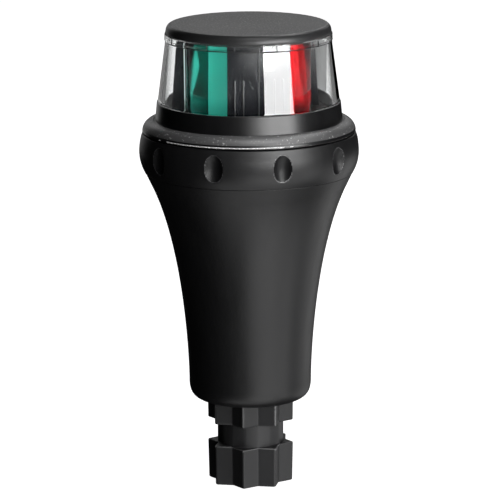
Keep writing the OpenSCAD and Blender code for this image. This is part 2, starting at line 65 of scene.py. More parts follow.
# Levels and radii of the CAD frame, read from its nodes
BASE_Z = low("body_shell")
NECK_TOP = high("body_shell")
RING_LOW = low("grip_ring")
RING_TOP = high("grip_ring")
HUB_LOW = low("lens_holder")
COLLAR_Z = high("lens_holder")
CHAMBER_Z = low("lens_seal")
LENS_Z = high("lens_cover")
CAP_TOP = high("top_cap")
OPTIC_TOP = high("rear_screen")
SPLINE_TOP = high("mounting_spline")
FLOOR_Z = low("spline_washer")
RING_R = reach("grip_ring")

# Sizes inside the nodes, repeated from the part's own dimensions
RIM_Z = RING_LOW - 0.15
RIM_R = 37.8
BODY_R = 22.35
BORE_R = 30.6
NECK_R = 33.2
WALL = 2.5
HUB_R = 31
FIT_GAP = 0.05
RAMP_R = 34.6
RAMP_Z = RIM_Z + 4.7
RAMP_H = 2.8
RAMP_HALF = 30
RING_BORE_R = 34.9
LUG_Z = RIM_Z + 1.3
LUG_HALF = 19
BAYONET_TURN = 10


# ---------------------------------------------------------------- outlines

def arc(cx, cz, radius, start, end, steps):
    """Points on an arc, its angles in degrees."""
    angles = [math.radians(start + (end - start) * i / steps) for i in range(steps + 1)]
    return [(cx + radius * math.cos(a), cz + radius * math.sin(a)) for a in angles]


def bezier(a, b, c, d, steps):
    """Points on the cubic curve that leaves a towards b and reaches d from c."""
    points = []
    for i in range(steps + 1):
        t = i / steps
        s = 1 - t
        weights = (s * s * s, 3 * s * s * t, 3 * s * t * t, t * t * t)
        points.append(tuple(sum(w * p[k] for w, p in zip(weights, (a, b, c, d))) for k in (0, 1)))
    return points


def rounded(corners, steps=4):
    """Closed outline in which each corner with a third value is rounded to that radius."""
    points = []
    count = len(corners)
    for i, corner in enumerate(corners):
        here = Vector(corner[:2])
        size = corner[2] if len(corner) > 2 else 0
        if not size:
            points.append(tuple(here))
            continue
        back = Vector(corners[i - 1][:2]) - here
        ahead = Vector(corners[(i + 1) % count][:2]) - here
        turn = back.angle(ahead)
        cut = min(size / math.tan(turn / 2), back.length * 0.49, ahead.length * 0.49)
        radius = cut * math.tan(turn / 2)
        middle = here + (back.normalized() + ahead.normalized()).normalized() * (
            radius / math.sin(turn / 2))
        first = here + back.normalized() * cut - middle
        last = here + ahead.normalized() * cut - middle
        sweep = first.angle_signed(last)
        for k in range(steps + 1):
            points.append(tuple(middle + Matrix.Rotation(-sweep * k / steps, 2) @ first))
    return points


def supported(points, margin=0.15):
    """Adds points close to both ends of each long straight, so that flats shade flat."""
    result = []
    for i, point in enumerate(points):
        here = Vector(point)
        ahead = Vector(points[(i + 1) % len(points)]) - here
        result.append(tuple(here))
        if ahead.length > 8 * margin:
            step = ahead.normalized() * margin
            result += [tuple(here + step), tuple(here + ahead - step)]
    return result


def direction(azimuth, elevation):
    """Unit vector away from the axis, azimuth 0 being dead ahead (-Y)."""
    a = math.radians(azimuth)
    e = math.radians(elevation)
    return Vector((math.sin(a) * math.cos(e), -math.cos(a) * math.cos(e), math.sin(e)))


# ---------------------------------------------------------------- meshes

MERGE_DISTANCE = 1e-7
CLEAR_SLOTS = ("clear_lens", "filter_red", "filter_green")


def finish_mesh(name, bm, body, slot, materials, replaces=(), smooth_limit=SMOOTH_LIMIT):
    """Turns the mesh into a piece that rides on a body and stands for the CAD nodes it replaces."""
    bmesh.ops.remove_doubles(bm, verts=bm.verts, dist=MERGE_DISTANCE)
    bmesh.ops.recalc_face_normals(bm, faces=bm.faces)
    for face in bm.faces:
        face.smooth = True
    for edge in bm.edges:
        edge.smooth = len(edge.link_faces) == 2 and edge.calc_face_angle(0) < smooth_limit
    mesh = bpy.data.meshes.new(name)
    bm.to_mesh(mesh)
    bm.free()
    piece = bpy.data.objects.new(name, mesh)
    bpy.context.scene.collection.objects.link(piece)
    for material in materials:
        mesh.materials.append(material)
    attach(piece, body)
    piece.visible_shadow = slot not in CLEAR_SLOTS
    if replaces:
        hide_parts(*replaces)
    return piece


def add_rings(bm, rings, closed_profile):
    """Joins rings of equal count into quads; a ring of one vertex is a pole."""
    pairs = list(zip(rings, rings[1:]))
    if closed_profile:
        pairs.append((rings[-1], rings[0]))
    for below, above in pairs:
        if len(below) == 1 and len(above) == 1:
            continue
        count = max(len(below), len(above))
        for k in range(count):
            n = (k + 1) % count
            corners = [below[k % len(below)], below[n % len(below)],
                       above[n % len(above)], above[k % len(above)]]
            distinct = [v for i, v in enumerate(corners) if v not in corners[:i]]
            bm.faces.new(distinct)


def lathe(bm, outline, segments=SEGMENTS, radius_at=None, angles=None):
    """Turns a closed outline round the Z axis. radius_at(radius, height, angle) may carve it."""
    angles = angles or [2 * math.pi * k / segments for k in range(segments)]
    rings = []
    for r, z in supported(outline):
        if r < 1e-6:
            rings.append([bm.verts.new((0, 0, z * MM))])
            continue
        ring = []
        for a in angles:
            size = radius_at(r, z, a) if radius_at else r
            ring.append(bm.verts.new((size * math.cos(a) * MM, size * math.sin(a) * MM, z * MM)))
        rings.append(ring)
    add_rings(bm, rings, True)


def prism(bm, outline, place, depth, bevel=0.0, bevel_steps=2):
    """Extrudes a flat outline by depth and bevels all its edges. place maps (u, v, w) to metres."""
    part = bmesh.new()
    base = [part.verts.new(place(u, v, 0)) for u, v in outline]
    top = [part.verts.new(place(u, v, depth)) for u, v in outline]
    part.faces.new(base)
    part.faces.new(list(reversed(top)))
    for k in range(len(outline)):
        n = (k + 1) % len(outline)
        part.faces.new([base[k], top[k], top[n], base[n]])
    bmesh.ops.recalc_face_normals(part, faces=part.faces)
    if bevel:
        bmesh.ops.bevel(part, geom=part.edges[:], offset=bevel * MM, segments=bevel_steps,
                        profile=0.6, affect="EDGES", clamp_overlap=True)
    merge_into(bm, part)


def merge_into(bm, part):
    """Adds the mesh part to bm and frees it."""
    scratch = bpy.data.meshes.new("scratch")
    part.to_mesh(scratch)
    part.free()
    bm.from_mesh(scratch)
    bpy.data.meshes.remove(scratch)


def upright(u, v, w):
    """Outline in the XY plane, extruded upwards."""
    return Vector((u, v, w)) * MM


def facing(u, v, w):
    """Outline in the XZ plane, extruded backwards, away from dead ahead."""
    return Vector((u, w, v)) * MM


def box_outline(u0, u1, v0, v1):
    """Rectangle between two widths and two heights."""
    return [(u0, v0), (u1, v0), (u1, v1), (u0, v1)]


def shifted(place, x, y, z):
    """The same placing, moved by (x, y, z) millimetres."""
    return lambda u, v, w: place(u, v, w) + Vector((x, y, z)) * MM


def arc_block(bm, r0, r1, z0, z1, start, end, bevel=0.25):
    """Block between two radii and two angles, counted from dead ahead towards +X."""
    steps = max(4, int(abs(end - start) / 2))
    turns = [math.radians(start - 90 + (end - start) * k / steps) for k in range(steps + 1)]
    outline = [(r1 * math.cos(a), r1 * math.sin(a)) for a in turns]
    outline += [(r0 * math.cos(a), r0 * math.sin(a)) for a in reversed(turns)]
    prism(bm, outline, shifted(upright, 0, 0, z0), z1 - z0, bevel)


# ---------------------------------------------------------------- materials

def grey(level, tint=0.0):
    """Neutral colour, its blue raised by tint."""
    return (level, level, level + tint)


def new_material(name):
    """New material with its nodes, its links and its Principled shader."""
    material = bpy.data.materials.new(name)
    material.use_nodes = True
    nodes = material.node_tree.nodes
    return material, nodes, material.node_tree.links, nodes["Principled BSDF"]


def node_of(nodes, kind, **inputs):
    """New node of a kind with some of its inputs set, an underscore standing for a space."""
    made = nodes.new(kind)
    for key, value in inputs.items():
        made.inputs[key.replace("_", " ")].default_value = value
    return made


def grain(nodes, links, scale, detail=2.0, stretch=(1, 1, 1)):
    """Noise in the object's own coordinates; scale is in waves per metre."""
    place = nodes.new("ShaderNodeTexCoord")
    mapping = nodes.new("ShaderNodeMapping")
    mapping.inputs["Scale"].default_value = stretch
    links.new(place.outputs["Object"], mapping.inputs["Vector"])
    texture = node_of(nodes, "ShaderNodeTexNoise", Scale=scale, Detail=detail)
    links.new(mapping.outputs["Vector"], texture.inputs["Vector"])
    return texture.outputs["Fac"]


def spread(nodes, links, value, low_value, high_value, start=0.3, end=0.7):
    """Maps a texture's value to a range of roughness or of another number."""
    ramp = node_of(nodes, "ShaderNodeMapRange")
    ramp.inputs["From Min"].default_value = start
    ramp.inputs["From Max"].default_value = end
    ramp.inputs["To Min"].default_value = low_value
    ramp.inputs["To Max"].default_value = high_value
    links.new(value, ramp.inputs["Value"])
    return ramp.outputs["Result"]


def arithmetic(nodes, links, operation, *values):
    """Output of a math node, each of whose values is a number or another node's output."""
    made = nodes.new("ShaderNodeMath")
    made.operation = operation
    for socket, value in zip(made.inputs, values):
        if isinstance(value, (int, float)):
            socket.default_value = value
        else:
            links.new(value, socket)
    return made.outputs["Value"]


def mix_colours(nodes, links, value, first, second, start=0.3, end=0.7):
    """Colour that runs from first to second as a texture's value goes from start to end."""
    ramp = nodes.new("ShaderNodeValToRGB")
    ramp.color_ramp.elements[0].position = start
    ramp.color_ramp.elements[0].color = (*first, 1)
    ramp.color_ramp.elements[1].position = end
    ramp.color_ramp.elements[1].color = (*second, 1)
    links.new(value, ramp.inputs["Fac"])
    return ramp.outputs["Color"]


def bump(nodes, links, shader, *layers):
    """Stacks bump layers, each (value, height in metres, strength)."""
    previous = None
    for value, height, strength in layers:
        made = node_of(nodes, "ShaderNodeBump", Strength=strength, Distance=height)
        links.new(value, made.inputs["Height"])
        if previous:
            links.new(previous.outputs["Normal"], made.inputs["Normal"])
        previous = made
    links.new(previous.outputs["Normal"], shader.inputs["Normal"])


# Textures of moulded plastic, in waves per metre, and the depth of its rub marks, in metres
FLOW_WAVES = 38
GRAIN_WAVES = 2600
RUB_WAVES = 420
SPECK_WAVES = 1500
RUB_DEPTH = 0.00001
FLOW_SHARE = 0.6


def moulded_plastic(name, dark, light, rough, fine_scale=GRAIN_WAVES, fine_height=0.00002,
                    specular=0.5, specks=0.0, speck_colour=grey(0.2)):
    """Black moulded plastic: fine spark grain, faint flow marks, rub marks and pale specks."""
    material, nodes, links, shader = new_material(name)
    flow = grain(nodes, links, FLOW_WAVES, 4, (1, 1, 0.35))
    fine = grain(nodes, links, fine_scale, 3)
    rub = grain(nodes, links, RUB_WAVES, 5, (1, 1, 0.15))
    colour = mix_colours(nodes, links, flow, dark, light)
    if specks:
        dots = grain(nodes, links, SPECK_WAVES, 1)
        blend = nodes.new("ShaderNodeMix")
        blend.data_type = "RGBA"
        links.new(spread(nodes, links, dots, 0, 1, 0.74 - specks, 0.8 - specks),
                  blend.inputs["Factor"])
        links.new(colour, blend.inputs["A"])
        blend.inputs["B"].default_value = (*speck_colour, 1)
        colour = blend.outputs["Result"]
    links.new(colour, shader.inputs["Base Color"])
    smear = arithmetic(nodes, links, "MULTIPLY_ADD", spread(nodes, links, flow, 0, FLOW_SHARE),
                       FLOW_SHARE, spread(nodes, links, rub, 0, 1 - FLOW_SHARE))
    links.new(spread(nodes, links, smear, rough - 0.035, rough + 0.05, 0, 0.76),
              shader.inputs["Roughness"])
    shader.inputs["Specular IOR Level"].default_value = specular
    bump(nodes, links, shader, (fine, fine_height, 0.55), (rub, RUB_DEPTH, 0.15))
    return material


PLASTIC_IOR = 1.49


def clear_plastic(name, colour, rough=0.0):
    """Polished transparent plastic with the faintest moulding waves."""
    material, nodes, links, shader = new_material(name)
    shader.inputs["Base Color"].default_value = (*colour, 1)
    shader.inputs["Transmission Weight"].default_value = 1
    shader.inputs["IOR"].default_value = PLASTIC_IOR
    haze = grain(nodes, links, 90, 3)
    links.new(spread(nodes, links, haze, rough, rough + 0.02), shader.inputs["Roughness"])
    bump(nodes, links, shader, (grain(nodes, links, 60, 2), 0.00002, 0.2))
    return material


def metal(name, colour, rough, stretch=(1, 1, 1), scale=900):
    """Bare or plated metal, its fine lines drawn out along the axis with the smallest stretch."""
    material, nodes, links, shader = new_material(name)
    lines = grain(nodes, links, scale, 4, stretch)
    shader.inputs["Metallic"].default_value = 1
    darker = tuple(c * 0.82 for c in colour)
    links.new(mix_colours(nodes, links, lines, darker, colour), shader.inputs["Base Color"])
    links.new(spread(nodes, links, lines, rough * 0.8, rough * 1.3), shader.inputs["Roughness"])
    bump(nodes, links, shader, (lines, 0.00001, 0.25))
    return material


def soft_rubber(name):
    """Dull black rubber of the seals."""
    material, nodes, links, shader = new_material(name)
    mottle = grain(nodes, links, 300, 4)
    links.new(mix_colours(nodes, links, mottle, grey(0.012), grey(0.02)),
              shader.inputs["Base Color"])
    links.new(spread(nodes, links, mottle, 0.6, 0.75), shader.inputs["Roughness"])
    bump(nodes, links, shader, (grain(nodes, links, 2200, 2), 0.00002, 0.4))
    return material


def printed(name, base, second, rough, scale=700):
    """Even painted or moulded colour with a little mottling: boards, sleeves, insulation."""
    material, nodes, links, shader = new_material(name)
    mottle = grain(nodes, links, scale, 3)
    links.new(mix_colours(nodes, links, mottle, base, second), shader.inputs["Base Color"])
    links.new(spread(nodes, links, mottle, rough - 0.05, rough + 0.08), shader.inputs["Roughness"])
    bump(nodes, links, shader, (mottle, 0.00002, 0.2))
    return material


COARSE_WAVES = 1500
SCREEN_WAVES = 900
BLACK = grey(0.0035, 0.0003)
BLACK_LIGHT = grey(0.006, 0.0005)
body_plastic = moulded_plastic("body_plastic", BLACK, BLACK_LIGHT, 0.42)
ring_plastic = moulded_plastic("ring_plastic", BLACK, BLACK_LIGHT, 0.4)
scoop_plastic = moulded_plastic("scoop_plastic", BLACK, BLACK_LIGHT, 0.4, specular=0.3)
# Paler plastic on the scoops' rims: a painted highlight
scoop_rim_highlight = moulded_plastic("scoop_rim_highlight", grey(0.015, 0.001), grey(0.05, 0.002), 0.36,
                              specular=1.0)
head_plastic = moulded_plastic("head_plastic", BLACK, BLACK_LIGHT, 0.3, specular=0.65)
spline_plastic = moulded_plastic("spline_plastic", grey(0.011, 0.0005), grey(0.016, 0.001), 0.46)
# Paler plastic for the star's edges: a painted highlight
star_edge_highlight = moulded_plastic("star_edge_highlight", grey(0.05, 0.001), grey(0.14, 0.002), 0.4)
# Paler plastic for the shoulder's upward faces: painted light from above, with pale specks of wear
shoulder_specks_and_sheen = moulded_plastic("shoulder_specks_and_sheen", grey(0.045, 0.001), grey(0.075, 0.001), 0.4,
                                   COARSE_WAVES, 0.00005, 1.0, 0.07, grey(0.35))
# Pale plastic for the flange's lower edge: partly wear, partly a painted highlight
wear_and_highlight_plastic = moulded_plastic("wear_and_highlight_plastic", grey(0.2), grey(0.6), 0.4, COARSE_WAVES, 0.00005,
                               0.5, 0.2, grey(0.95))
cap_side_plastic = moulded_plastic("cap_side_plastic", grey(0.018, 0.001), grey(0.028, 0.001), 0.38,
                                   specular=0.8)
# Paler plastic for the cap's flat top: painted light from above
cap_top_painted_light = moulded_plastic("cap_top_painted_light", grey(0.15, 0.002), grey(0.2, 0.002), 0.62,
                                  COARSE_WAVES, 0.00006, 0.75, 0.12, grey(0.42))
inner_plastic = moulded_plastic("inner_plastic", grey(0.018, 0.002), grey(0.026, 0.002), 0.5)
screen_plastic = moulded_plastic("screen_plastic", (0.007, 0.008, 0.01), (0.014, 0.015, 0.018),
                                 0.22, SCREEN_WAVES, 0.00003, 0.3, 0.08, grey(0.11, 0.005))
# Dark plastic for the lens's groove and tab edges: painted shade
lens_groove_shade = moulded_plastic("lens_groove_shade", grey(0.004), grey(0.012), 0.6)
rail_plastic = moulded_plastic("rail_plastic", (0.03, 0.031, 0.033), (0.1, 0.1, 0.105), 0.4,
                               SCREEN_WAVES, 0.00003)
lens_plastic = clear_plastic("lens_plastic", (0.98, 0.99, 0.99))
green_plastic = clear_plastic("green_plastic", (0.08, 0.66, 0.53), 0.01)
red_plastic = clear_plastic("red_plastic", (0.9, 0.04, 0.05), 0.01)
bright_plastic = metal("bright_plastic", (0.86, 0.87, 0.88), 0.2, scale=200)
steel = metal("steel", (0.58, 0.58, 0.6), 0.28, (1, 1, 0.1))
nickel = metal("nickel", (0.62, 0.6, 0.56), 0.22)
gold = metal("gold", (0.86, 0.62, 0.28), 0.22)
rubber = soft_rubber("rubber")
reflector_white = printed("reflector_white", grey(0.8), grey(0.88), 0.3, 150)
board_green = printed("board_green", (0.01, 0.12, 0.05), (0.015, 0.17, 0.07), 0.35)
board_white = printed("board_white", (0.75, 0.75, 0.73), (0.85, 0.85, 0.83), 0.4)
component_black = printed("component_black", grey(0.012, 0.001), grey(0.022, 0.002), 0.4)
cell_sleeve = printed("cell_sleeve", (0.16, 0.17, 0.19), (0.2, 0.21, 0.23), 0.25, 120)
wire_red = printed("wire_red", (0.35, 0.02, 0.015), (0.45, 0.03, 0.02), 0.45)
led_red = printed("led_red", (0.7, 0.05, 0.03), (0.8, 0.09, 0.05), 0.2)
led_green = printed("led_green", (0.05, 0.5, 0.22), (0.08, 0.6, 0.28), 0.2)
reed_glass = clear_plastic("reed_glass", (0.8, 0.95, 0.88), 0.02)

NODE_MATERIALS = {
    "spline_seal": rubber, "main_seal": rubber, "lens_seal": rubber, "cap_seal": rubber,
    "spline_washer": steel, "spline_screw": steel, "holder_screws": steel,
    "board_screws": steel, "optic_screws": steel,
    "cell_springs": nickel, "cell_contacts": nickel, "ring_magnet": nickel,
    "carrier_contacts": gold, "contact_springs": gold,
    "battery_carrier": inner_plastic, "head_base": inner_plastic,
    "battery_cell_1": cell_sleeve, "battery_cell_2": cell_sleeve, "battery_cell_3": cell_sleeve,
    "driver_board": board_green, "board_components": component_black,
    "reed_switch": reed_glass, "led_wires": wire_red,
    "led_board_port": board_white, "led_board_starboard": board_white,
    "led_port": led_red, "led_starboard": led_green,
}
for node_name, material in NODE_MATERIALS.items():
    node_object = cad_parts[node_name]
    node_object.data.materials.clear()
    node_object.data.materials.append(material)


# ---------------------------------------------------------------- mounting spline

STAR_TURN = 24.8
STAR_STEP = 22.5
STAR_POINT_R = 16.15
STAR_POINT_ROUND = 0.75
STAR_VALLEY_ROUND = 0.5
STAR_STEPS = 4
STAR_EDGE = 0.42
# Share of the upper rim's faces that take the painted edge highlight
STAR_HIGHLIGHT_SHARE = 0.6
LOWER_STAR_TOP = 14.7
LATCH_NECK_TOP = 22.9
LATCH_NECK_R = 12.2
SOCKET_TOP = BASE_Z + 1.6
SPIGOT_R = 8.5
FLAT_MARGIN = 0.3


def star_ring(inset):
    """Rounded eight-pointed outline, drawn in from its full size by inset."""
    point_r = STAR_POINT_R - inset * math.sqrt(2)
    valley_r = point_r * math.cos(math.radians(2 * STAR_STEP)) / math.cos(math.radians(STAR_STEP))
    corners = []
    for i in range(16):
        turn = math.radians(STAR_TURN - 90 + STAR_STEP * i)
        size, rounding = (valley_r, STAR_VALLEY_ROUND) if i % 2 else (point_r, STAR_POINT_ROUND)
        corners.append((size * math.cos(turn), size * math.sin(turn), rounding))
    return supported(rounded(corners, STAR_STEPS))


def circle_ring(radius):
    """Circle whose points stand at the star's own angles, so that the two rings join."""
    return [(radius * math.cos(math.atan2(y, x)), radius * math.sin(math.atan2(y, x)))
            for x, y in star_ring(0)]


def mark_spline_highlights(mesh):
    """Gives the star's points and some of its upper rim a paler plastic, a painted highlight on the
    edges.
    """
    dice = random.Random(9)
    for face in mesh.polygons:
        z = face.center.z / MM
        on_point = face.center.xy.length / MM > STAR_POINT_R - STAR_EDGE
        on_rim = LOWER_STAR_TOP - 0.35 < z < LOWER_STAR_TOP - 0.01 and dice.random() < STAR_HIGHLIGHT_SHARE
        if on_point or on_rim:
            face.material_index = 1


def make_spline():
    levels = [
        (star_ring(1.1), 0), (star_ring(0.55), 0.02), (star_ring(0.3), 0.18),
        (star_ring(0.2), 0.55), (star_ring(0.0), LOWER_STAR_TOP - 0.4),
        (star_ring(0.1), LOWER_STAR_TOP - 0.12), (star_ring(0.38), LOWER_STAR_TOP),
        (circle_ring(LATCH_NECK_R + 0.2), LOWER_STAR_TOP),
        (circle_ring(LATCH_NECK_R), LOWER_STAR_TOP + 0.25),
        (circle_ring(LATCH_NECK_R), LATCH_NECK_TOP),
        (star_ring(0.65), LATCH_NECK_TOP), (star_ring(0.2), LATCH_NECK_TOP + 0.08),
        (star_ring(0.02), LATCH_NECK_TOP + 0.4), (star_ring(-0.05), SOCKET_TOP),
        (circle_ring(SPIGOT_R), SOCKET_TOP), (circle_ring(SPIGOT_R), SPLINE_TOP),
    ]
    stack = []
    for (ring, z), (next_ring, next_z) in zip(levels, levels[1:]):
        rise = next_z - z
        stack.append((ring, z))
        if rise > 2:
            for share in (FLAT_MARGIN / rise, 1 - FLAT_MARGIN / rise):
                mixed = [(a[0] + (b[0] - a[0]) * share, a[1] + (b[1] - a[1]) * share)
                         for a, b in zip(ring, next_ring)]
                stack.append((mixed, z + rise * share))
    stack.append(levels[-1])
    bm = bmesh.new()
    rings = [[bm.verts.new((x * MM, y * MM, z * MM)) for x, y in ring] for ring, z in stack]
    rings.insert(0, [bm.verts.new((0, 0, 0))])
    rings.append([bm.verts.new((0, 0, SPLINE_TOP * MM))])
    add_rings(bm, rings, False)
    plug = finish_mesh("spline_plug", bm, "housing", "black_plastic",
                       [spline_plastic, star_edge_highlight], ["mounting_spline"])
    mark_spline_highlights(plug.data)


make_spline()


# ---------------------------------------------------------------- body

FOOT_TOP = BASE_Z + 7.1
BORE_LOW = RIM_Z - 10
RIB_FOOT_R = 14
RIB_T = 2


def foot_curve(steps=20):
    return bezier((15.5, BASE_Z), (20.5, BASE_Z + 0.7), (22.3, BASE_Z + 2.1), (BODY_R, FOOT_TOP),
                  steps)


def flare_curve(inset, steps=56):
    """Trumpet outline from the foot to the rim, drawn in by inset."""
    curve = bezier((BODY_R, FOOT_TOP), (BODY_R, FOOT_TOP + 7.6),
                   (RIM_R - 13.9, RIM_Z - 30.1), (RIM_R - 2.85, RIM_Z - 5.9), steps)
    return [(r - inset, z) for r, z in curve]


def make_body():
    rim_top = RING_LOW - FIT_GAP
    outer = [(0, BASE_Z), (10, BASE_Z)] + foot_curve() + flare_curve(0)[1:]
    rim = rounded([(RIM_R - 2.4, RIM_Z - 5), (RIM_R, rim_top, 0.15), (NECK_R, rim_top, 0.3),
                   (NECK_R, NECK_TOP, 0.35), (BORE_R + 0.6, NECK_TOP, 0.2),
                   (BORE_R, NECK_TOP - 0.8), (BORE_R, BORE_LOW)])
    inner = [p for p in reversed(flare_curve(WALL)) if p[1] < BORE_LOW - 1]
    floor = rounded([(BODY_R - WALL, FLOOR_Z + 8), (BODY_R - WALL - 0.3, FLOOR_Z, 0.8),
                     (SPIGOT_R, FLOOR_Z)])
    bm = bmesh.new()
    lathe(bm, outer + rim + inner + floor[1:] + [(0, FLOOR_Z - 0.1)])
    finish_mesh("body", bm, "housing", "black_plastic", [body_plastic], ["body_shell"])


def make_bayonet_ramps():
    """Three ramps on the neck that the ring's lugs run under, each with a stop at its far end."""
    root_r = NECK_R - 0.3
    bm = bmesh.new()
    for i in range(3):
        middle = BAYONET_TURN + 120 * i + 60
        arc_block(bm, root_r, RAMP_R, RAMP_Z, RAMP_Z + RAMP_H, middle - RAMP_HALF,
                  middle + RAMP_HALF)
        arc_block(bm, root_r, RAMP_R - 0.2, RIM_Z - 0.2, RAMP_Z + 0.3, middle + LUG_HALF + 0.6,
                  middle + RAMP_HALF - 2)
    finish_mesh("bayonet_ramps", bm, "housing", "black_plastic", [body_plastic],
                smooth_limit=PRISM_LIMIT)


def make_bay_ribs():
    """Ribs inside the wall that centre the battery carrier, with the ledges it stands on."""
    bm = bmesh.new()
    carrier_z = low("battery_carrier")
    carrier_top = high("battery_carrier")
    guide_r = reach("battery_carrier") + 0.3
    wall_curve = [p for p in flare_curve(WALL - 0.5) if p[1] < carrier_top]
    outline = [(RIB_FOOT_R, FLOOR_Z - 0.1), (BODY_R - WALL, FLOOR_Z - 0.1)] + wall_curve
    outline += [(guide_r, carrier_top), (guide_r, carrier_z), (RIB_FOOT_R, carrier_z)]
    for a in range(0, 360, 60):
        turn = Matrix.Rotation(math.radians(a - 90), 3, "Z")
        prism(bm, outline, lambda u, v, w, t=turn: t @ (Vector((u, w - RIB_T / 2, v)) * MM), RIB_T,
              0.2)
    finish_mesh("bay_ribs", bm, "housing", "black_plastic", [body_plastic],
                smooth_limit=PRISM_LIMIT)


make_body()
make_bayonet_ramps()
make_bay_ribs()


# ---------------------------------------------------------------- grip ring

RING_SEGMENTS = 720
RING_SKIN_R = RING_R - 4
RING_BULGE_R = 16.5
RING_BULGE_Z = RIM_Z + 8.1
SCOOPS = 10
SCOOP_TURN = 7
SCOOP_DEPTH = 2.0
SCOOP_SWEEP_R = 6.4
SCOOP_TOOL_R = 4.0
SCOOP_Z = RIM_Z + 7.5
SCOOP_EDGE = 0.2
SCOOP_RIM = 0.12


def smooth_minimum(a, b, size):
    """The lesser of two numbers, blended where they come within size of each other."""
    blend = max(size - abs(a - b), 0) / size
    return min(a, b) - blend * blend * size / 4


def scooped_radius(radius, height, angle):
    """Cuts the scoops into the ring's outside: a round tool swept on an upright arc."""
    if radius < RING_SKIN_R:
        return radius
    pitch = 2 * math.pi / SCOOPS
    offset = (angle - math.radians(SCOOP_TURN - 90) + pitch / 2) % pitch - pitch / 2
    across = radius * math.sin(offset)
    up = height - SCOOP_Z
    if abs(across) >= SCOOP_TOOL_R or abs(up) >= SCOOP_SWEEP_R + SCOOP_TOOL_R:
        return radius
    sweep = SCOOP_SWEEP_R + math.sqrt(SCOOP_TOOL_R ** 2 - across ** 2)
    if abs(up) >= sweep:
        return radius
    centre = RING_R - SCOOP_DEPTH + SCOOP_SWEEP_R + SCOOP_TOOL_R
    return smooth_minimum(radius, (centre - math.sqrt(sweep ** 2 - up ** 2)) / math.cos(offset),
                          SCOOP_EDGE)


def mark_scoops(mesh, bulge_low, bulge_high):
    """Gives the scoops' insides and their rims materials of their own, by depth below the bulge;
    the rims' paler colour is a painted highlight.
    """
    for face in mesh.polygons:
        radius = face.center.xy.length / MM
        rise = face.center.z / MM - RING_BULGE_Z
        bulge_r = RING_R - RING_BULGE_R + math.sqrt(max(RING_BULGE_R ** 2 - rise ** 2, 0))
        depth = bulge_r - radius
        on_bulge = bulge_low < face.center.z / MM < bulge_high and radius > RING_SKIN_R
        if on_bulge and depth > SCOOP_RIM:
            face.material_index = 1
        elif on_bulge and depth > SCOOP_RIM / 6:
            face.material_index = 2


def make_grip_ring():
    low_turn = math.degrees(math.asin((RING_LOW + 0.2 - RING_BULGE_Z) / RING_BULGE_R))
    high_turn = math.degrees(math.asin((RING_TOP - 0.45 - RING_BULGE_Z) / RING_BULGE_R))
    bulge = arc(RING_R - RING_BULGE_R, RING_BULGE_Z, RING_BULGE_R, low_turn, high_turn, 54)
    foot_r, bulge_low = bulge[0]
    edge_r, bulge_high = bulge[-1]
    groove_z = HUB_LOW + 0.2
    lip = [(edge_r - 0.08, RING_TOP - 0.18), (edge_r - 0.3, RING_TOP - 0.03),
           (edge_r - 0.6, RING_TOP), (HUB_R + FIT_GAP, RING_TOP), (HUB_R + FIT_GAP, groove_z),
           (RING_BORE_R, groove_z)]
    foot = [(RING_BORE_R, RING_LOW), (foot_r - 0.25, RING_LOW), (foot_r - 0.06, RING_LOW + 0.06)]
    bm = bmesh.new()
    lathe(bm, bulge + lip + foot, RING_SEGMENTS, scooped_radius)
    for i in range(3):
        middle = BAYONET_TURN + 120 * i
        arc_block(bm, NECK_R + 0.2, RING_BORE_R + 0.3, LUG_Z, RAMP_Z - 0.2, middle - LUG_HALF,
                  middle + LUG_HALF)
    ring = finish_mesh("thumb_ring", bm, "grip_ring", "black_plastic",
                       [ring_plastic, scoop_plastic, scoop_rim_highlight], ["grip_ring"])
    mark_scoops(ring.data, bulge_low, bulge_high)


make_grip_ring()


# ---------------------------------------------------------------- lens holder

COLLAR_R = 33.9
SEAT_R = 32.05
HUB_BORE_R = 26.6
FLOOR_HOLE_R = 5
FLOOR_LOW = CHAMBER_Z - 2.8
BOSS_CIRCLE = 23.4
BOSS_R = 3.3
BOSS_HOLE_R = 1.25
BOSS_SEGMENTS = 40
FLANGE_Z = HUB_LOW + 2.5
FLANGE_R = reach("lens_holder")
FLANGE_ROUND = 4.15
UNDERCUT_H = 0.3
UNDERCUT_DEPTH = 0.7
# Pale band along the flange's lower edge, partly wear and partly a painted highlight
PALE_EDGE_H = 0.6
PALE_EDGE_FROM = -60
PALE_EDGE_TO = 8
PALE_EDGE_CHANCE = 0.05


def mark_flange_sheen_and_wear(mesh):
    """Dull plastic on the shoulder, paler on its upward faces as painted light from above, with
    specks of wear; and along the flange's lower edge a pale band that is partly wear and partly a
    painted highlight.
    """
    dice = random.Random(4)
    for face in mesh.polygons:
        rise = face.center.z / MM - FLANGE_Z
        outside = face.center.xy.length / MM > COLLAR_R + 0.2
        # Upward faces of the shoulder take the paler plastic, painted light from above
        if outside and face.normal.z > 0.3 and 0 < rise < 4.5:
            face.material_index = 1
        turn = math.degrees(math.atan2(face.center.x, -face.center.y))
        pale_edge = PALE_EDGE_FROM < turn < PALE_EDGE_TO or dice.random() < PALE_EDGE_CHANCE
        if pale_edge and outside and face.normal.z > -0.5 and UNDERCUT_H < rise < UNDERCUT_H + PALE_EDGE_H:
            face.material_index = 2


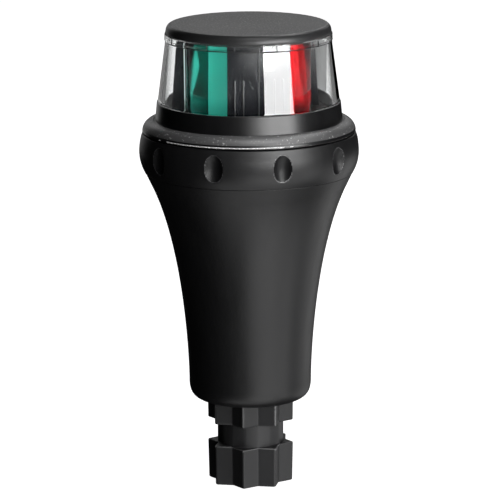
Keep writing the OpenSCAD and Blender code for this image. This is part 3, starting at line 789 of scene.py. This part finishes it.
def make_lens_holder():
    shoulder = arc(FLANGE_R - FLANGE_ROUND, FLANGE_Z + 0.25, FLANGE_ROUND, 3, 88, 18)
    undercut_r = FLANGE_R - UNDERCUT_DEPTH
    collar = rounded([(COLLAR_R + 1.2, FLANGE_Z + 4.2), (COLLAR_R + 0.1, FLANGE_Z + 4.1, 0.3),
                      (COLLAR_R - 0.55, COLLAR_Z, 0.35), (SEAT_R, COLLAR_Z, 0.1),
                      (SEAT_R, CHAMBER_Z, 0.2), (FLOOR_HOLE_R, CHAMBER_Z, 0.3),
                      (FLOOR_HOLE_R, FLOOR_LOW, 0.2), (HUB_BORE_R, FLOOR_LOW, 0.5),
                      (HUB_BORE_R, HUB_LOW, 0.2), (HUB_R, HUB_LOW, 0.2), (HUB_R, FLANGE_Z, 0.2),
                      (undercut_r, FLANGE_Z), (undercut_r, FLANGE_Z + UNDERCUT_H),
                      (FLANGE_R - 0.08, FLANGE_Z + UNDERCUT_H, 0.08)])
    bm = bmesh.new()
    lathe(bm, shoulder + collar[1:])
    for a in (60, 180, 300):
        boss = bmesh.new()
        lathe(boss, rounded([(BOSS_HOLE_R, HUB_LOW), (BOSS_R, HUB_LOW, 0.2),
                             (BOSS_R, CHAMBER_Z - 2.5), (BOSS_HOLE_R, CHAMBER_Z - 2.5)]),
              BOSS_SEGMENTS)
        bmesh.ops.translate(boss, verts=boss.verts, vec=direction(a, 0) * BOSS_CIRCLE * MM)
        merge_into(bm, boss)
    holder = finish_mesh("holder", bm, "head", "black_plastic",
                         [head_plastic, shoulder_specks_and_sheen, wear_and_highlight_plastic], ["lens_holder"])
    mark_flange_sheen_and_wear(holder.data)


make_lens_holder()


# ---------------------------------------------------------------- lens

LENS_BOTTOM_R = 33.0
LENS_TOP_R = 30.05
LENS_WALL = 2.1
COLUMN_STEP = 2.0
BAND_Z = LENS_Z - 2.6
BAND_R = LENS_TOP_R + 0.4
GROOVE_R = LENS_TOP_R - 0.2
TAB_COUNT = 10
TAB_PITCH = 360 / TAB_COUNT
TAB_TURN = 2.4
TAB_HALF = 6.5
TAB_DEPTH = 0.4
TAB_SIDE = 0.12


def lens_angles():
    """Even columns round the lens, with a close pair at each side of a tab."""
    turns = [COLUMN_STEP * k for k in range(int(360 / COLUMN_STEP))]
    for i in range(TAB_COUNT):
        for side in (-1, 1):
            edge = (TAB_TURN + TAB_PITCH * i + side * TAB_HALF) % 360
            turns = [t for t in turns if abs((t - edge + 180) % 360 - 180) > COLUMN_STEP / 4]
            turns += [(edge - TAB_SIDE) % 360, (edge + TAB_SIDE) % 360]
    return [math.radians(t - 90) for t in sorted(turns)]


def tabbed_radius(radius, height, angle):
    """Cuts the tabs' places into the band."""
    if not BAND_Z + 0.45 <= height <= LENS_Z - 0.4 or radius < LENS_TOP_R:
        return radius
    offset = (math.degrees(angle) + 90 - TAB_TURN + TAB_PITCH / 2) % TAB_PITCH - TAB_PITCH / 2
    return radius - TAB_DEPTH if abs(offset) < TAB_HALF else radius


def mark_lens_lines(mesh):
    """Dark plastic in the groove below the band and on the edges of the tabs: painted shade for the
    dark lines these edges show.
    """
    for face in mesh.polygons:
        radii = [mesh.vertices[k].co.xy.length / MM for k in face.vertices]
        rise = face.center.z / MM - BAND_Z
        on_outside = min(radii) > LENS_TOP_R - 0.3
        in_groove = 0.04 < rise < 0.34 and max(radii) < LENS_TOP_R
        at_tab = 0.35 < rise and max(radii) - min(radii) > TAB_DEPTH * 0.7
        if on_outside and (in_groove or at_tab):
            face.material_index = 1


def make_lens():
    foot_z = CHAMBER_Z + 0.6
    inner_low = LENS_BOTTOM_R - LENS_WALL
    inner_high = LENS_TOP_R - LENS_WALL + 0.55
    ledge = COLLAR_Z + 0.05
    outline = rounded([
        (inner_low, foot_z, 0.2), (SEAT_R - 0.1, foot_z, 0.2), (SEAT_R - 0.1, ledge, 0.1),
        (LENS_BOTTOM_R, ledge, 0.15), (LENS_TOP_R + 0.05, BAND_Z, 0.08),
        (GROOVE_R, BAND_Z + 0.06), (GROOVE_R, BAND_Z + 0.31), (BAND_R, BAND_Z + 0.36, 0.04)], 3)
    band = [BAND_Z + 0.42, BAND_Z + 0.46, LENS_Z - 0.47, LENS_Z - 0.39]
    outline += [(BAND_R - 0.04 * (z - BAND_Z), z) for z in band]
    outline += rounded([(BAND_R - 0.1, LENS_Z - 0.35), (BAND_R - 0.1, LENS_Z, 0.15),
                        (inner_high, LENS_Z, 0.15), (inner_high, BAND_Z, 0.3)], 3)
    bm = bmesh.new()
    lathe(bm, outline, radius_at=tabbed_radius, angles=lens_angles())
    lens = finish_mesh("clear_lens", bm, "head", "clear_lens", [lens_plastic, lens_groove_shade],
                       ["lens_cover"])
    mark_lens_lines(lens.data)


make_lens()


# ---------------------------------------------------------------- cap

CAP_T = 2.2
CAP_ROUND = 2.8
CAP_SPIGOT_H = 1.0
CAP_SPIGOT_T = 1.3


def make_cap():
    cap_r = reach("top_cap")
    top_r = cap_r - 2.2
    spigot_r = LENS_TOP_R - LENS_WALL - FIT_GAP
    hollow_r = spigot_r - CAP_SPIGOT_T
    under_z = LENS_Z + FIT_GAP
    spigot_z = under_z - CAP_SPIGOT_H
    shoulder = bezier((top_r, CAP_TOP), (top_r + 1.5, CAP_TOP), (cap_r, CAP_TOP - CAP_ROUND / 2),
                      (cap_r, CAP_TOP - CAP_ROUND), 14)
    below = rounded([(cap_r, CAP_TOP - 3), (cap_r - 0.1, under_z, 0.25), (spigot_r, under_z, 0.1),
                     (spigot_r, spigot_z, 0.2), (hollow_r, spigot_z, 0.2),
                     (hollow_r, CAP_TOP - CAP_T, 0.4), (0, CAP_TOP - CAP_T)])
    flat = [(0, CAP_TOP - 0.12), (top_r * 0.5, CAP_TOP - 0.08), (top_r - 0.6, CAP_TOP - 0.01)]
    bm = bmesh.new()
    lathe(bm, flat + shoulder + below[1:])
    cap = finish_mesh("cap", bm, "head", "cap_plastic", [cap_side_plastic, cap_top_painted_light],
                      ["top_cap"])
    # The flat top's upward faces take the paler plastic, painted light from above
    for face in cap.data.polygons:
        if face.normal.z > 0.9 and face.center.z > (CAP_TOP - 0.3) * MM:
            face.material_index = 1


make_cap()


# ---------------------------------------------------------------- optics

FILTER_R = 22.7
FILTER_T = 1.2
FILTER_START = 30.0
SCREEN_T = 1.8
FRONT_Y = FILTER_R * math.cos(math.radians(FILTER_START))
FRONT_HALF = FILTER_R * math.sin(math.radians(FILTER_START)) - 0.05
REAR_Y = 5.3
FILTER_END = 90 + math.degrees(math.asin(REAR_Y / FILTER_R)) - 0.3
OPTIC_MID = CHAMBER_Z + 17.1
OUTER_RAIL_X = 8.7
INNER_RAIL_X = 5.6
RAIL_TOP = CHAMBER_Z + 15.3
TAB_LOW = OPTIC_TOP - 3
REAR_LOW_HALF = 27.9
REAR_HIGH_HALF = 25.4
GUSSET_X = 8
GUSSET_TOP = CHAMBER_Z + 24
REAR_FOOT_X = 15
REAR_RIB_T = 1.6


def make_filter(name, start, end, slot, material, node):
    bm = bmesh.new()
    arc_block(bm, FILTER_R - FILTER_T, FILTER_R, CHAMBER_Z + FIT_GAP, OPTIC_TOP - FIT_GAP, start,
              end, 0.15)
    finish_mesh(name, bm, "head", slot, [material], [node], PRISM_LIMIT)


def add_rail(bm, x, z0, z1, half=0.25, proud=0.6, bevel=0.14):
    """Upright rail on the front screen's face."""
    prism(bm, box_outline(x - half, x + half, z0, z1), shifted(facing, 0, -FRONT_Y - proud, 0), 1,
          bevel)


def make_front_screen():
    """Black panel with its two pairs of guide rails, the tabs over them and a centre bead."""
    bm = bmesh.new()
    panel = [(-FRONT_HALF, -FRONT_Y), (FRONT_HALF, -FRONT_Y),
             (FRONT_HALF - 1, SCREEN_T - FRONT_Y), (1 - FRONT_HALF, SCREEN_T - FRONT_Y)]
    prism(bm, panel, shifted(upright, 0, 0, CHAMBER_Z), OPTIC_TOP - CHAMBER_Z, 0.12)
    for x in (-OUTER_RAIL_X, -INNER_RAIL_X, INNER_RAIL_X, OUTER_RAIL_X):
        add_rail(bm, x, CHAMBER_Z, RAIL_TOP)
    for x in (-OUTER_RAIL_X, OUTER_RAIL_X):
        add_rail(bm, x, TAB_LOW, OPTIC_TOP - 0.4)
    add_rail(bm, 0, CHAMBER_Z, OPTIC_TOP, 0.2, 0.3, 0.1)
    prism(bm, box_outline(-5, 5, CHAMBER_Z, CHAMBER_Z + 1.6),
          shifted(facing, 0, SCREEN_T - FRONT_Y - 0.5, 0), 5.2, 0.2)
    screen = finish_mesh("front_panel", bm, "head", "screen_plastic",
                         [screen_plastic, rail_plastic], ["front_screen"], PRISM_LIMIT)
    for face in screen.data.polygons:
        if face.center.y < (-FRONT_Y - 0.15) * MM:
            face.material_index = 1


def make_rear_screen():
    """Black plate behind the axis, with two gussets and two screw feet on its back."""
    back_y = REAR_Y + SCREEN_T
    root_y = back_y - 0.1
    bm = bmesh.new()
    plate = [(-REAR_LOW_HALF, CHAMBER_Z), (REAR_LOW_HALF, CHAMBER_Z),
             (REAR_HIGH_HALF, OPTIC_TOP), (-REAR_HIGH_HALF, OPTIC_TOP)]
    prism(bm, plate, shifted(facing, 0, REAR_Y, 0), SCREEN_T, 0.2)
    gusset = [(root_y, CHAMBER_Z), (back_y + 8, CHAMBER_Z), (back_y + 1.5, GUSSET_TOP),
              (root_y, GUSSET_TOP)]
    for x in (-GUSSET_X, GUSSET_X):
        side = x - REAR_RIB_T / 2
        prism(bm, gusset, lambda u, v, w, x=side: Vector((x + w, u, v)) * MM, REAR_RIB_T, 0.15)
    for x in (-REAR_FOOT_X, REAR_FOOT_X):
        prism(bm, box_outline(x - 3.5, x + 3.5, root_y, back_y + 8.5),
              shifted(upright, 0, 0, CHAMBER_Z), REAR_RIB_T, 0.2)
    finish_mesh("rear_panel", bm, "head", "screen_plastic", [screen_plastic], ["rear_screen"],
                PRISM_LIMIT)


CORE_FRONT_Y = -5.5
CORE_BACK_Y = REAR_Y - 0.1
CORE_FRONT_HALF = 15.6
CORE_WING_Y = 1.2
CORE_HALF = reach("reflector_core")
CORE_WAIST = 18.3
CORE_PLATE_T = 1.0
# White beads at the filters' ends: a painted highlight for the filters' bright edges
BEAD_R = FILTER_R + 0.05
BEAD_W = 0.35
BEAD_T = 0.7


def make_reflector():
    """Waisted block with a trough on each side, its back plate, and a bead at each filter's end,
    whose white is a painted highlight for the filters' bright edges.
    """
    base_z = low("reflector_core")
    top_z = high("reflector_core")
    trough = (CORE_HALF - CORE_WAIST) / (FILTER_R - FILTER_T + 0.2 - CORE_WAIST)
    slant = (CORE_WING_Y - CORE_FRONT_Y) / (CORE_HALF - CORE_FRONT_HALF)
    levels = [(base_z, CORE_HALF), (OPTIC_MID - (OPTIC_MID - base_z) * trough, CORE_HALF),
              (OPTIC_MID, CORE_WAIST), (OPTIC_MID + (top_z - OPTIC_MID) * trough, CORE_HALF),
              (top_z, CORE_HALF)]
    bm = bmesh.new()
    rings = []
    for z, half in levels:
        cheek_y = CORE_FRONT_Y + (half - CORE_FRONT_HALF) * slant
        ring = [(-CORE_FRONT_HALF, CORE_FRONT_Y), (CORE_FRONT_HALF, CORE_FRONT_Y),
                (half, cheek_y), (half, CORE_BACK_Y), (-half, CORE_BACK_Y), (-half, cheek_y)]
        rings.append([bm.verts.new((x * MM, y * MM, z * MM)) for x, y in ring])
    add_rings(bm, rings, False)
    bm.faces.new(rings[0])
    bm.faces.new(list(reversed(rings[-1])))
    bmesh.ops.bevel(bm, geom=[e for e in bm.edges if e.calc_face_angle(0) > 0.05],
                    offset=0.25 * MM, segments=2, profile=0.5, affect="EDGES",
                    clamp_overlap=True)
    prism(bm, box_outline(-CORE_HALF, CORE_HALF, base_z, top_z),
          shifted(facing, 0, CORE_BACK_Y - CORE_PLATE_T, 0), CORE_PLATE_T, 0.15)
    for x in (-BEAD_R - BEAD_W, BEAD_R):
        prism(bm, box_outline(x, x + BEAD_W, base_z, top_z - 1),
              shifted(facing, 0, REAR_Y - BEAD_T, 0), BEAD_T, 0.08)
    core = finish_mesh("reflector", bm, "head", "reflector", [bright_plastic, reflector_white],
                       ["reflector_core"], PRISM_LIMIT)
    for face in core.data.polygons:
        if face.normal.y < -0.95 or abs(face.center.x) > BEAD_R * MM:
            face.material_index = 1


make_filter("filter_green", -FILTER_END, -FILTER_START, "filter_green", green_plastic,
            "filter_starboard")
make_filter("filter_red", FILTER_START, FILTER_END, "filter_red", red_plastic, "filter_port")
make_front_screen()
make_rear_screen()
make_reflector()


# ---------------------------------------------------------------- studio

CAMERA_AZIMUTH = -10.5
CAMERA_ELEVATION = 12.329
CAMERA_DISTANCE = 1.4457
CAMERA_ROLL = -0.292
CAMERA_LENS = 285.0
CAMERA_SHIFT_X = 0.0008
CAMERA_SHIFT_Y = 0.0068
CAMERA_TARGET = Vector((0, 0, 0.085))
FLOOR_HALF = 4
FLOOR_DROP = 0.0003
CARD_AWAY = 0.3
CARD_SIDES = (0.03, 0.09)
CARD_LEVELS = (-0.1, 0.3)
BLACK_PIECES = ("spline_plug", "body", "thumb_ring", "holder", "cap")
OPTIC_PIECES = ("reflector", "filter_green", "filter_red")


def make_camera():
    data = bpy.data.cameras.new("camera")
    data.lens = CAMERA_LENS
    data.sensor_width = 36
    data.shift_x = CAMERA_SHIFT_X
    data.shift_y = CAMERA_SHIFT_Y
    camera = bpy.data.objects.new("camera", data)
    bpy.context.scene.collection.objects.link(camera)
    back = direction(CAMERA_AZIMUTH, CAMERA_ELEVATION)
    camera.location = CAMERA_TARGET + back * CAMERA_DISTANCE
    aim = (-back).to_track_quat("-Z", "Y").to_matrix()
    camera.rotation_euler = (aim @ Matrix.Rotation(math.radians(CAMERA_ROLL), 3, "Z")).to_euler()
    bpy.context.scene.camera = camera


def softbox(name, azimuth, elevation, distance, width, height, power):
    """Rectangular light placed round the object, its azimuth counted from the camera's."""
    data = bpy.data.lights.new(name, "AREA")
    data.shape = "RECTANGLE"
    data.size = width
    data.size_y = height
    data.energy = power
    light = bpy.data.objects.new(name, data)
    bpy.context.scene.collection.objects.link(light)
    away = direction(CAMERA_AZIMUTH + azimuth, elevation)
    light.location = CAMERA_TARGET + away * distance
    light.rotation_euler = (-away).to_track_quat("-Z", "Y").to_euler()
    return light


def light_only(light, pieces):
    """Keeps a light to the pieces named, as a snooted lamp would."""
    receivers = bpy.data.collections.new(light.name + "_receivers")
    for name in pieces:
        receivers.objects.link(bpy.data.objects[name])
    light.light_linking.receiver_collection = receivers


def unreflected(nodes, links):
    """1 for a ray that nothing has reflected on its way, and 0 for any other."""
    path = nodes.new("ShaderNodeLightPath")
    bounces = arithmetic(nodes, links, "ADD", path.outputs["Diffuse Depth"],
                         path.outputs["Glossy Depth"])
    return arithmetic(nodes, links, "LESS_THAN", bounces, 0.5)


def stage_object(name, bm, material):
    """Object of the studio that neither lights nor shades the pieces, nor shows in them."""
    mesh = bpy.data.meshes.new(name)
    bm.to_mesh(mesh)
    bm.free()
    mesh.materials.append(material)
    made = bpy.data.objects.new(name, mesh)
    made.visible_diffuse = False
    made.visible_glossy = False
    made.visible_shadow = False
    bpy.context.scene.collection.objects.link(made)
    return made


def make_floor():
    """White floor that glows to unreflected rays, just below the plug's foot."""
    material, nodes, links, shader = new_material("floor_white")
    mottle = grain(nodes, links, 8, 3)
    links.new(mix_colours(nodes, links, mottle, grey(0.86), grey(0.88)),
              shader.inputs["Base Color"])
    shader.inputs["Roughness"].default_value = 0.6
    shader.inputs["Emission Color"].default_value = (1, 1, 1, 1)
    links.new(unreflected(nodes, links), shader.inputs["Emission Strength"])
    bm = bmesh.new()
    bmesh.ops.create_grid(bm, x_segments=8, y_segments=8, size=FLOOR_HALF)
    floor = stage_object("floor", bm, material)
    floor.location.z = -FLOOR_DROP


def make_world():
    """Dark room, white where the camera looks past the floor and behind the clear plastic."""
    world = bpy.data.worlds.new("studio")
    world.use_nodes = True
    nodes = world.node_tree.nodes
    links = world.node_tree.links
    background = nodes["Background"]
    place = nodes.new("ShaderNodeTexCoord")
    split = nodes.new("ShaderNodeSeparateXYZ")
    links.new(place.outputs["Generated"], split.inputs["Vector"])
    wall = spread(nodes, links, split.outputs["Y"], 0, 1, 0.0, 0.4)
    path = nodes.new("ShaderNodeLightPath")
    level = arithmetic(nodes, links, "MULTIPLY_ADD", path.outputs["Is Transmission Ray"], wall,
                       path.outputs["Is Camera Ray"])
    links.new(level, background.inputs["Strength"])
    background.inputs["Color"].default_value = (1, 1, 1, 1)
    bpy.context.scene.world = world


def make_grey_card():
    """Card behind the object's right side, seen only through the clear plastic."""
    material = bpy.data.materials.new("grey_card")
    material.use_nodes = True
    nodes = material.node_tree.nodes
    links = material.node_tree.links
    nodes.clear()
    glow = nodes.new("ShaderNodeEmission")
    output = nodes.new("ShaderNodeOutputMaterial")
    place = nodes.new("ShaderNodeTexCoord")
    split = nodes.new("ShaderNodeSeparateXYZ")
    links.new(place.outputs["Generated"], split.inputs["Vector"])
    shade = spread(nodes, links, split.outputs["X"], 0.06, 0.42, 0, 0.6)
    strength = arithmetic(nodes, links, "MULTIPLY", unreflected(nodes, links), shade)
    links.new(strength, glow.inputs["Strength"])
    links.new(glow.outputs["Emission"], output.inputs["Surface"])
    back = -direction(CAMERA_AZIMUTH, 0)
    right = Vector((back.y, -back.x, 0))
    left_u, right_u = CARD_SIDES
    low_z, high_z = CARD_LEVELS
    bm = bmesh.new()
    bm.faces.new([bm.verts.new(back * CARD_AWAY + right * u + Vector((0, 0, z)))
                  for u, z in box_outline(left_u, right_u, low_z, high_z)])
    card = stage_object("grey_card", bm, material)
    card.visible_camera = False


make_camera()
make_floor()
make_world()
make_grey_card()
softbox("key", 38.5, 5, 1.0, 0.68, 0.22, 5.7)
light_only(softbox("feather_near", 15, 5, 1.0, 0.18, 0.3, 1.0), BLACK_PIECES)
light_only(softbox("feather_far", 5, 5, 1.0, 0.18, 0.3, 0.3), BLACK_PIECES)
softbox("key_upper", 41.5, 22, 1.0, 0.7, 0.36, 2.2)
softbox("overhead_front", 14, 55, 1.0, 0.5, 0.3, 1.4)
softbox("overhead_back", 135, 60, 1.0, 0.5, 0.3, 1.8)
softbox("back", 180, 25, 1.0, 1.0, 0.3, 0.8)
softbox("bounce_front", 24, -35, 1.0, 0.8, 0.36, 2.3)
softbox("bounce_low", 4, -62, 1.0, 1.2, 0.5, 2.2)
softbox("bounce_right", 68, -26, 1.0, 0.36, 0.5, 1.15)
softbox("bounce_side", 120, -24, 1.0, 0.9, 0.5, 1.3)
softbox("back_left", -156, 6, 1.0, 0.36, 0.5, 0.3)
light_only(softbox("optic_fill", -32, 10, 1.0, 0.5, 0.4, 5.8), OPTIC_PIECES)
light_only(softbox("optic_side", 112, -8, 1.0, 0.8, 0.8, 45.0), OPTIC_PIECES)
light_only(softbox("lens_key", 38.5, 5, 0.99, 0.68, 0.22, 3.6), ("clear_lens",))
light_only(softbox("shoulder_key", 48, 62, 1.0, 0.8, 0.8, 5.5), ("holder",))
light_only(softbox("ring_key", 38.5, 36, 1.0, 0.6, 0.2, 7.0), ("thumb_ring",))
bpy.context.scene.view_settings.view_transform = "Standard"
